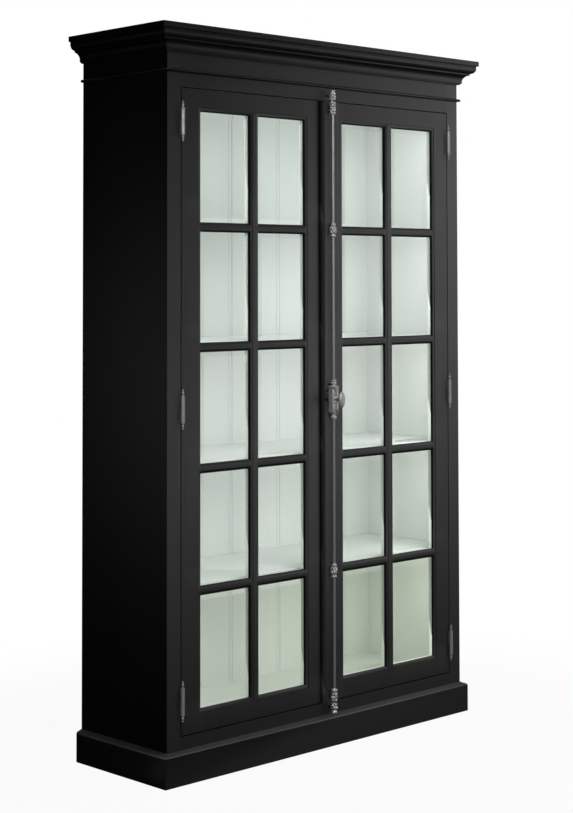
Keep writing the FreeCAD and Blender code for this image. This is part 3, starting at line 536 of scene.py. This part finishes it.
def turned(bm, pts, relief=None, bore=5.5, back=FACE_Y, step=0.65, seg=80, cx=ROD_X, cy=ROD_Y):
    """Closed tube round the rod: outer wall from a profile and relief,
    flattened where it meets the surface behind, and a plain bore."""
    z0, z1 = pts[0][0], pts[-1][0]
    n = max(2, int(round((z1 - z0) / step)))
    rings = []
    for i in range(n + 1):
        z = z0 + (z1 - z0) * i / n
        fade = min(1.0, (z - z0) / 1.5, (z1 - z) / 1.5)
        ring = []
        for k in range(seg):
            th = 2 * math.pi * k / seg
            r = smooth_profile(pts, z) - 0.5 * (1.0 - fade)
            if relief is not None:
                r += relief(th, z) * max(0.0, fade)
            x, y = cx + r * math.cos(th), cy + r * math.sin(th)
            ring.append(bm.verts.new(P3(x, min(y, back), z)))
        rings.append(ring)
    inner = [[bm.verts.new(P3(cx + bore * math.cos(2 * math.pi * k / seg), cy + bore * math.sin(2 * math.pi * k / seg), z)) for k in range(seg)]
             for z in (z0, z1)]
    for a, b in zip(rings, rings[1:]):
        for k in range(seg):
            j = (k + 1) % seg
            bm.faces.new((a[k], a[j], b[j], b[k]))
    for k in range(seg):
        j = (k + 1) % seg
        bm.faces.new((inner[0][k], inner[1][k], inner[1][j], inner[0][j]))
        bm.faces.new((rings[0][k], inner[0][k], inner[0][j], rings[0][j]))
        bm.faces.new((rings[-1][k], rings[-1][j], inner[1][j], inner[1][k]))


def foot(bm, zc, back, r=2.7, front=-17.9):
    """Round stem with a flared root, from the tube back to the frame."""
    prof = [(front, r), (-9.0, r * 0.94), (-4.5, r), (-2.2, r * 1.08), (-1.2, r * 1.25), (back - 0.02, r * 1.35)]
    rings = []
    for y, q in prof:
        rings.append([bm.verts.new(P3(ROD_X + q * math.cos(2 * math.pi * k / 32), y, zc + q * math.sin(2 * math.pi * k / 32))) for k in range(32)])
    for a, b in zip(rings, rings[1:]):
        for k in range(32):
            j = (k + 1) % 32
            bm.faces.new((a[k], a[j], b[j], b[k]))
    bm.faces.new(rings[0][::-1])
    bm.faces.new(rings[-1])


def piece(name, bm, body, material, angle=50):
    bmesh.ops.recalc_face_normals(bm, faces=bm.faces)
    me = bpy.data.meshes.new(name)
    bm.to_mesh(me)
    bm.free()
    o = bpy.data.objects.new(name, me)
    scene.collection.objects.link(o)
    me.materials.append(material)
    me.polygons.foreach_set("use_smooth", [True] * len(me.polygons))
    add_smooth(o, math.radians(angle))
    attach(o, body)
    return o


# --- rod guides on the right door and keepers on the face frame
bm = bmesh.new()
leaf = lumps([2072.5, 2080.5, 2089.0, 2097.5, 2105.0], 4, 4.6, 4.9, 5.4, 0.5, 7.6)
turned(bm, [(2067.0, 6.4), (2070.0, 6.6), (2075.0, 6.6), (2104.0, 6.6), (2109.5, 6.6)], leaf)
leaf = lumps([168.5, 159.5, 150.5], 4, 4.8, 5.0, 6.2, 0.5, 7.8)
turned(bm, [(144.2, 6.7), (147.0, 6.9), (168.0, 6.9), (173.5, 6.4), (175.2, 6.4), (178.6, 10.6), (182.6, 10.6), (186.0, 7.2), (187.5, 7.0)], leaf)
for gz in (1684.0, 569.0):
    flutes = lumps([gz + 5.5, gz - 4.5], 5, 4.4, 4.6, 8.6, 0.9, 8.4)
    turned(bm, [(gz - 23.5, 6.6), (gz - 22.0, 7.6), (gz - 19.0, 9.9), (gz - 16.0, 9.4), (gz - 13.2, 6.3), (gz - 12.0, 6.3), (gz - 7.0, 7.6),
                (gz + 0.5, 8.0), (gz + 8.0, 7.6), (gz + 13.0, 6.3), (gz + 14.2, 6.3), (gz + 16.5, 9.2), (gz + 19.5, 9.4), (gz + 21.5, 7.4),
                (gz + 24.0, 6.2)], flutes)
guides = piece("rod_guides_cast", bm, "right_door", M["pewter"])
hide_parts("cremone_guides")

bm = bmesh.new()
leaf = lumps([2118.0, 2126.5, 2135.0], 4, 4.6, 4.9, 5.6, -0.5, 7.6)
turned(bm, [(2113.6, 6.6), (2118.0, 6.7), (2133.0, 6.6), (2139.0, 6.2), (2141.0, 6.3), (2144.0, 8.8), (2146.5, 9.2)], leaf, back=-0.02, bore=5.7)
leaf = lumps([134.5, 125.5], 4, 4.8, 5.0, 6.2, -0.5, 7.8)
turned(bm, [(105.0, 6.6), (106.5, 8.0), (110.5, 9.9), (114.5, 8.6), (117.0, 6.3), (118.6, 6.3), (122.0, 6.9), (136.0, 6.9), (139.8, 6.7)], leaf, back=-0.02, bore=5.7)
keepers = piece("rod_keepers_cast", bm, "carcass", M["pewter"])
bm = bmesh.new()
foot(bm, 2130.0, 0.0)
foot(bm, 124.0, 0.0)
stems = piece("rod_keeper_stems", bm, "carcass", M["screws"])
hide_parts("cremone_keepers")

# --- lock case: reeded body with swags, turned necks at both ends
HZ = 45.5


def case_half(z):
    a = abs(z)
    if a < 33.0:
        w = 13.2 + 0.5 * math.cos(math.pi * a / 66.0)
    elif a < 41.5:
        w = 13.2 + 1.7 * math.sin(math.pi * (a - 33.0) / 8.5 * 0.5)
    else:
        t = (a - 41.5) / (HZ - 41.5)
        w = 14.9 - 5.6 * t * t
    return w


def case_front(u, z):
    """Forward distance from the face behind, in mm."""
    a = abs(z)
    base = 15.2 if a < 41.0 else 15.2 - 4.0 * ((a - 41.0) / (HZ - 41.0)) ** 2
    rib = 0.0
    q = 1.0 - ((abs(u) - 0.68) / 0.33) ** 2
    if q > 0:
        rib = 5.6 * math.sqrt(q)
    chan = 0.35 * math.cos(u * 34.0) * max(0.0, 1.0 - (u / 0.34) ** 2)
    end = max(0.0, min(1.0, (37.0 - a) / 4.0))
    d = base + (rib + chan) * (0.30 + 0.70 * end)
    zs = (29.5 + 10.0 * abs(u) ** 1.2) if z > 0 else -(31.0 + 7.5 * abs(u) ** 1.2)
    for off, amp, wd in ((0.0, 5.2, 2.2), (5.8, 4.0, 1.9)):
        c = zs + (off if z > 0 else -off)
        d = max(d, base + 2.2 + amp * math.exp(-((z - c) / wd) ** 2) * (0.82 + 0.18 * math.cos(u * 22.0)))if abs(z - c) < wd * 1.4 else d
    x = u * case_half(z)
    r = math.hypot(x, z)
    if r < 11.0:
        d += (19.6 - d) * min(1.0, max(0.0, (11.0 - r) / 1.6))
    r = math.hypot(x, z - 17.0)
    if r < 3.2:
        d = max(d, base + 0.8 + 3.4 * math.sqrt(max(0.0, 1.0 - (r / 3.2) ** 2)))
    return d


bm = bmesh.new()
NU, NZ = 56, 150
loops = []
for i in range(NZ + 1):
    z = -HZ + 2 * HZ * i / NZ
    w = case_half(z)
    row = [(-w, FACE_Y - 0.02)]
    row.append((-w, FACE_Y - 0.45 * case_front(-1.0, z)))
    for k in range(NU + 1):
        u = -1.0 + 2.0 * k / NU
        row.append((u * w, FACE_Y - case_front(u, z)))
    row.append((w, FACE_Y - 0.45 * case_front(1.0, z)))
    row.append((w, FACE_Y - 0.02))
    loops.append([bm.verts.new(P3(ROD_X + x, y, CASE_Z + z)) for x, y in row])
m_ = len(loops[0])
for a, b in zip(loops, loops[1:]):
    for k in range(m_):
        j = (k + 1) % m_
        bm.faces.new((a[k], a[j], b[j], b[k]))
bm.faces.new(loops[0][::-1])
bm.faces.new(loops[-1])
bmesh.ops.recalc_face_normals(bm, faces=bm.faces)
case_me = bpy.data.meshes.new("case_blank")
bm.to_mesh(case_me)
bm.free()
case_o = bpy.data.objects.new("case_blank", case_me)
scene.collection.objects.link(case_o)


def cutter(name, build):
    bm = bmesh.new()
    build(bm)
    bmesh.ops.recalc_face_normals(bm, faces=bm.faces)
    me = bpy.data.meshes.new(name)
    bm.to_mesh(me)
    bm.free()
    o = bpy.data.objects.new(name, me)
    scene.collection.objects.link(o)
    return o


def cut_rod(bm):
    bmesh.ops.create_cone(bm, cap_ends=True, segments=48, radius1=0.0055, radius2=0.0055, depth=0.2,
                          matrix=Matrix.Translation(P3(ROD_X, ROD_Y, CASE_Z)))


def cut_spindle(bm):
    bmesh.ops.create_cone(bm, cap_ends=True, segments=40, radius1=0.0043, radius2=0.0043, depth=0.06,
                          matrix=Matrix.Translation(P3(ROD_X, -30.0, CASE_Z)) @ Matrix.Rotation(math.pi / 2, 4, "X"))


def cut_cavity(bm):
    bmesh.ops.create_cube(bm, size=1.0, matrix=Matrix.Translation(P3(ROD_X, (-29.0 - 14.0) / 2, CASE_Z)) @ Matrix.Diagonal((0.0232, 0.015, 0.069, 1.0)))


cutters = [cutter("cut_a", cut_cavity), cutter("cut_b", cut_rod), cutter("cut_c", cut_spindle)]
for c in cutters:
    md = case_o.modifiers.new(c.name, "BOOLEAN")
    md.operation, md.solver, md.object = "DIFFERENCE", "EXACT", c
bpy.context.view_layer.update()
done = bpy.data.meshes.new_from_object(case_o.evaluated_get(bpy.context.evaluated_depsgraph_get()))
bm = bmesh.new()
bm.from_mesh(done)
for o in cutters + [case_o]:
    bpy.data.objects.remove(o)
bmesh.ops.remove_doubles(bm, verts=bm.verts, dist=1e-7)
beads = lumps([CASE_Z + 54.0], 7, 1.2, 4.2, 5.0, 0.0, 9.0)
turned(bm, [(CASE_Z + 43.0, 11.5), (CASE_Z + 45.5, 9.8), (CASE_Z + 48.6, 7.2), (CASE_Z + 49.6, 7.2), (CASE_Z + 52.2, 8.9), (CASE_Z + 55.6, 8.9),
            (CASE_Z + 58.2, 7.0), (CASE_Z + 59.4, 7.2), (CASE_Z + 60.6, 10.2), (CASE_Z + 63.4, 10.4), (CASE_Z + 64.6, 9.2)], beads)
turned(bm, [(CASE_Z - 66.0, 7.0), (CASE_Z - 64.0, 8.0), (CASE_Z - 60.5, 10.2), (CASE_Z - 56.5, 10.2), (CASE_Z - 53.0, 7.4), (CASE_Z - 51.4, 7.2),
            (CASE_Z - 48.0, 9.6), (CASE_Z - 43.0, 11.8)], None)
case_piece = piece("lock_case_cast", bm, "right_door", M["pewter"], 40)
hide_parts("cremone_case")

# ============================================================ camera
cam_data = bpy.data.cameras.new("camera")
cam = bpy.data.objects.new("camera", cam_data)
scene.collection.objects.link(cam)
F, CX, CY, PW, PH = 1740.15, 414.15, 220.59, 573.0, 813.0
yaw, pit, rol = 0.80342, 0.03745, -0.00456
pos = Vector((-3.9244, -4.3808, 1.4997))
fw = Vector((math.sin(yaw) * math.cos(pit), math.cos(yaw) * math.cos(pit), math.sin(pit)))
rt = Vector((math.cos(yaw), -math.sin(yaw), 0.0))
up = rt.cross(fw)
r2 = rt * math.cos(rol) + up * math.sin(rol)
u2 = -rt * math.sin(rol) + up * math.cos(rol)
rot = Matrix((r2, u2, -fw)).transposed()
cam.matrix_world = Matrix.Translation(pos) @ rot.to_4x4()
cam_data.sensor_width = 36.0
cam_data.sensor_fit = "AUTO"
cam_data.lens = F * 36.0 / PH
SHX, SHY = (PW / 2 - CX) / PH, -(PH / 2 - CY) / PH
cam_data.clip_start, cam_data.clip_end = 0.05, 100.0
scene.camera = cam
for path, value in (("shift_x", SHX), ("shift_y", SHY)):
    setattr(cam_data, path, value)
    d = cam_data.driver_add(path).driver
    d.type = "SCRIPTED"
    var = d.variables.new()
    var.name = "x"
    var.type = "TRANSFORMS"
    var.targets[0].id = cam
    var.targets[0].transform_type = "LOC_X"
    var.targets[0].transform_space = "WORLD_SPACE"
    d.expression = "%.6f if abs(x + %.4f) < 0.002 else 0.0" % (value, -pos.x)

# ============================================================ stage and light
scene.view_settings.view_transform = "Standard"
scene.view_settings.look = "None"
scene.view_settings.exposure = 0.0
scene.view_settings.gamma = 1.0


def floor_material():
    g = G("studio_floor")
    v = g.coord()
    tone = g.noise(1.2, v, 3.0, 0.5)
    dif = g.n("ShaderNodeBsdfDiffuse")
    g.link(g.ramp(tone, [(0.3, (0.86, 0.86, 0.86)), (0.7, (0.90, 0.90, 0.90))]), dif.inputs["Color"])
    glow = g.n("ShaderNodeEmission")
    glow.inputs["Color"].default_value = (1, 1, 1, 1)
    glow.inputs["Strength"].default_value = 1.0
    near = g.n("ShaderNodeMixShader")
    ln = g.n("ShaderNodeVectorMath", operation="LENGTH")
    g.link(v, ln.inputs[0])
    g.link(g.remap(ln.outputs["Value"], 0.9, 2.0, 0.94, 1.0, True), near.inputs[0])
    g.link(dif.outputs[0], near.inputs[1])
    g.link(glow.outputs[0], near.inputs[2])
    # seen by bounced light the floor is a dimmer, slightly green surface
    dim = g.n("ShaderNodeBsdfDiffuse")
    dim.inputs["Color"].default_value = (0.045, 0.048, 0.042, 1)
    # mirrored in satin paint it reads as a mid grey sheet
    mir = g.n("ShaderNodeEmission")
    sp = g.n("ShaderNodeSeparateXYZ")
    g.link(v, sp.inputs[0])
    side = g.math("SUBTRACT", sp.outputs["X"], sp.outputs["Y"])
    geo = g.n("ShaderNodeNewGeometry")
    inc = g.n("ShaderNodeSeparateXYZ")
    g.link(geo.outputs["Incoming"], inc.inputs[0])
    low = g.remap(g.math("ABSOLUTE", inc.outputs["Z"]), 0.30, 0.60, 1.0, 0.10, True)
    g.link(g.math("MULTIPLY", low, g.remap(side, -0.56, -0.36, 0.0, 0.16, True)), mir.inputs["Strength"])
    lp = g.n("ShaderNodeLightPath")
    m0 = g.n("ShaderNodeMixShader")
    g.link(lp.outputs["Is Glossy Ray"], m0.inputs[0])
    g.link(dim.outputs[0], m0.inputs[1])
    g.link(mir.outputs[0], m0.inputs[2])
    mx = g.n("ShaderNodeMixShader")
    thru = g.math("MULTIPLY", lp.outputs["Is Transmission Ray"], g.math("LESS_THAN", inc.outputs["Y"], 0.0))
    g.link(g.math("MAXIMUM", lp.outputs["Is Camera Ray"], thru), mx.inputs[0])
    g.link(m0.outputs[0], mx.inputs[1])
    g.link(near.outputs[0], mx.inputs[2])
    return g.done(mx.outputs[0])


bm = bmesh.new()
bmesh.ops.create_grid(bm, x_segments=12, y_segments=12, size=30.0)
me = bpy.data.meshes.new("floor")
bm.to_mesh(me)
bm.free()
floor = bpy.data.objects.new("floor", me)
scene.collection.objects.link(floor)
floor.location.z = -0.0004
me.materials.append(floor_material())

GLOW = 0.16
world = bpy.data.worlds.new("studio")
scene.world = world
world.use_nodes = True
wt = world.node_tree
wt.nodes.clear()
wo = wt.nodes.new("ShaderNodeOutputWorld")
bg = wt.nodes.new("ShaderNodeBackground")
bg.inputs["Color"].default_value = (0.97, 1.0, 0.98, 1)
tcw = wt.nodes.new("ShaderNodeTexCoord")
dot = wt.nodes.new("ShaderNodeVectorMath")
dot.operation = "DOT_PRODUCT"
dot.inputs[1].default_value = (-0.62, -0.78, 0.0)
wt.links.new(tcw.outputs["Generated"], dot.inputs[0])
mr = wt.nodes.new("ShaderNodeMapRange")
mr.interpolation_type = "SMOOTHSTEP"
mr.inputs["From Min"].default_value, mr.inputs["From Max"].default_value = 0.15, 0.85
mr.inputs["To Min"].default_value, mr.inputs["To Max"].default_value = 0.003, GLOW
wt.links.new(dot.outputs["Value"], mr.inputs["Value"])
total = mr.outputs["Result"]
# weaker glows overhead and at the back right shape the faces turned there
for way, lo, hi, level in (((0.0, 0.0, 1.0), 0.35, 0.95, 0.10), ((0.66, 0.75, 0.0), 0.30, 0.90, 0.11)):
    dn = wt.nodes.new("ShaderNodeVectorMath")
    dn.operation = "DOT_PRODUCT"
    dn.inputs[1].default_value = way
    wt.links.new(tcw.outputs["Generated"], dn.inputs[0])
    mn = wt.nodes.new("ShaderNodeMapRange")
    mn.interpolation_type = "SMOOTHSTEP"
    mn.inputs["From Min"].default_value, mn.inputs["From Max"].default_value = lo, hi
    mn.inputs["To Min"].default_value, mn.inputs["To Max"].default_value = 0.0, level
    wt.links.new(dn.outputs["Value"], mn.inputs["Value"])
    ad = wt.nodes.new("ShaderNodeMath")
    wt.links.new(total, ad.inputs[0])
    wt.links.new(mn.outputs["Result"], ad.inputs[1])
    total = ad.outputs[0]
wt.links.new(total, bg.inputs["Strength"])
bw = wt.nodes.new("ShaderNodeBackground")
bw.inputs["Color"].default_value = (1, 1, 1, 1)
bw.inputs["Strength"].default_value = 1.0
lp = wt.nodes.new("ShaderNodeLightPath")
wm = wt.nodes.new("ShaderNodeMixShader")
# what is seen straight through an open door's panes is the same white
sd = wt.nodes.new("ShaderNodeSeparateXYZ")
wt.links.new(tcw.outputs["Generated"], sd.inputs[0])
ahead = wt.nodes.new("ShaderNodeMath")
ahead.operation = "GREATER_THAN"
ahead.inputs[1].default_value = 0.0
wt.links.new(sd.outputs["Y"], ahead.inputs[0])
thru = wt.nodes.new("ShaderNodeMath")
thru.operation = "MULTIPLY"
wt.links.new(ahead.outputs[0], thru.inputs[0])
wt.links.new(lp.outputs["Is Transmission Ray"], thru.inputs[1])
seen = wt.nodes.new("ShaderNodeMath")
seen.operation = "MAXIMUM"
wt.links.new(lp.outputs["Is Camera Ray"], seen.inputs[0])
wt.links.new(thru.outputs[0], seen.inputs[1])
wt.links.new(seen.outputs[0], wm.inputs[0])
wt.links.new(bg.outputs[0], wm.inputs[1])
wt.links.new(bw.outputs[0], wm.inputs[2])
wt.links.new(wm.outputs[0], wo.inputs["Surface"])


GLINT_W = (70.0, 50.0)
KEY_W, TOP_W, FILL_W = 82.0, 14.0, 26.0
BAYS = [(0.151, 0.576, 1.09, (0.95, 1.0, 0.84)), (0.576, 0.948, 0.97, (0.965, 1.0, 0.945)), (0.948, 1.321, 1.10, (0.985, 1.0, 0.975)),
        (1.321, 1.693, 1.17, (0.97, 1.0, 0.985)), (1.693, 2.098, 1.31, (0.965, 1.0, 0.98))]
SHEETS = [(-0.58, 0.04, 0.875, (1.0, 1.0, 1.01)), (0.04, 0.34, 0.90, (0.98, 0.995, 1.045)), (0.34, 0.58, 1.74, (1.0, 1.0, 0.985))]


def aim(o, loc, target):
    o.location = loc
    o.rotation_euler = (Vector(target) - Vector(loc)).to_track_quat("-Z", "Y").to_euler()


def area(name, loc, target, sx, sy, power, color=(1, 1, 1), glossy=True):
    ld = bpy.data.lights.new(name, "AREA")
    ld.shape = "RECTANGLE"
    ld.size, ld.size_y = sx, sy
    ld.energy = power
    ld.color = color
    o = bpy.data.objects.new(name, ld)
    scene.collection.objects.link(o)
    aim(o, loc, target)
    o.visible_camera = False
    o.visible_glossy = glossy
    return o


def card(name, centre, width, height, A, v0, k, s_up, s_dn, u0, su):
    """Upright soft sheet facing the cabinet, seen only by bounced light. The
    glow is a slanted ridge: u runs along the sheet, v is height above floor."""
    U = Vector((0.7384, 0.6743, 0.0))
    bm = bmesh.new()
    bmesh.ops.create_grid(bm, x_segments=1, y_segments=1, size=0.5)
    bmesh.ops.scale(bm, vec=(width, height, 1), verts=bm.verts)
    me = bpy.data.meshes.new(name)
    bm.to_mesh(me)
    bm.free()
    o = bpy.data.objects.new(name, me)
    scene.collection.objects.link(o)
    zed = Vector((0, 0, 1))
    o.matrix_world = Matrix.Translation((centre[0], centre[1], height / 2 + 0.01)) @ Matrix((U, zed, U.cross(zed))).transposed().to_4x4()
    o.visible_camera = False
    o.visible_transmission = False
    o.visible_shadow = False
    g = G(name)
    tc = g.n("ShaderNodeTexCoord")
    sp = g.n("ShaderNodeSeparateXYZ")
    g.link(tc.outputs["Object"], sp.inputs[0])
    u, v = sp.outputs["X"], g.math("ADD", sp.outputs["Y"], height / 2 + 0.01)
    dv = g.math("SUBTRACT", g.math("SUBTRACT", v, v0), g.math("MULTIPLY", u, k))
    upper = g.math("GREATER_THAN", dv, 0.0)
    s = g.math("ADD", g.math("MULTIPLY", upper, s_up - s_dn), s_dn)
    q = g.math("DIVIDE", dv, s)
    w = g.math("DIVIDE", g.math("SUBTRACT", u, u0), su)
    e = g.math("ADD", g.math("MULTIPLY", q, q), g.math("MULTIPLY", w, w))
    e = g.math("POWER", 2.718282, g.math("MULTIPLY", e, -1.0))
    em = g.n("ShaderNodeEmission")
    g.link(g.math("MULTIPLY", e, A), em.inputs["Strength"])
    me.materials.append(g.done(em.outputs[0]))
    return o


# frontal key for the interior, kept out of the reflections
area("key_front", (1.0, -4.6, 2.3), (0, 0, 1.15), 3.4, 2.6, KEY_W, (1.0, 1.0, 0.99), False)
# broad fill from the front left, only for matt surfaces
area("fill_left", (-3.4, -3.6, 1.9), (0, 0, 1.15), 2.6, 2.4, FILL_W, (1.0, 1.0, 1.0), False)
# soft top light that picks out the upward mouldings
area("top_soft", (0.6, -1.6, 4.2), (0.0, -0.1, 1.2), 2.4, 1.6, TOP_W, (1.0, 1.0, 1.0), True)
# glints on the metal fittings alone
fittings = bpy.data.collections.new("fittings")
for o in list(scene.objects):
    if o.type == "MESH" and any(m in (M["pewter"], M["pewter_rod"], M["pewter_knob"], M["pewter_hinge"]) for m in o.data.materials):
        fittings.objects.link(o)
for nm, loc, size, watts in (("glint_left", (-2.6, -2.6, 2.5), 0.7, GLINT_W[0]), ("glint_front", (-0.6, -3.6, 2.7), 0.6, GLINT_W[1])):
    o = area(nm, loc, (0.0, -0.2, 1.15), size, size, watts, (1.0, 1.0, 1.0), True)
    o.light_linking.receiver_collection = fittings
# one even sheet of light just inside the glass of every bay
for i, (z0, z1, watts, tint) in enumerate(BAYS):
    for j, (x0, x1, gain, shade) in enumerate(SHEETS):
        o = area("bay_%d_%d" % (i, j), ((x0 + x1) / 2, -0.150, (z0 + z1) / 2), ((x0 + x1) / 2, 1.0, (z0 + z1) / 2 - 0.30), x1 - x0, z1 - z0 - 0.03,
                 watts * gain * (x1 - x0) / 1.16, [p * q for p, q in zip(tint, shade)], False)
        o.visible_transmission = False
card("card_right", (2.36, -2.78), 6.0, 3.6, 2.593, 1.537, 1.097, 0.609, 1.913, 1.24, 3.778)
card("card_left", (-2.13, 1.62), 4.0, 2.8, 1.306, 1.233, 0.037, 0.417, 0.689, -0.445, 0.365)

scene.cycles.max_bounces = 12
scene.cycles.diffuse_bounces = 5
scene.cycles.glossy_bounces = 4
scene.cycles.transmission_bounces = 10
scene.cycles.transparent_max_bounces = 16
scene.cycles.sample_clamp_indirect = 6.0
scene.cycles.use_denoising = True
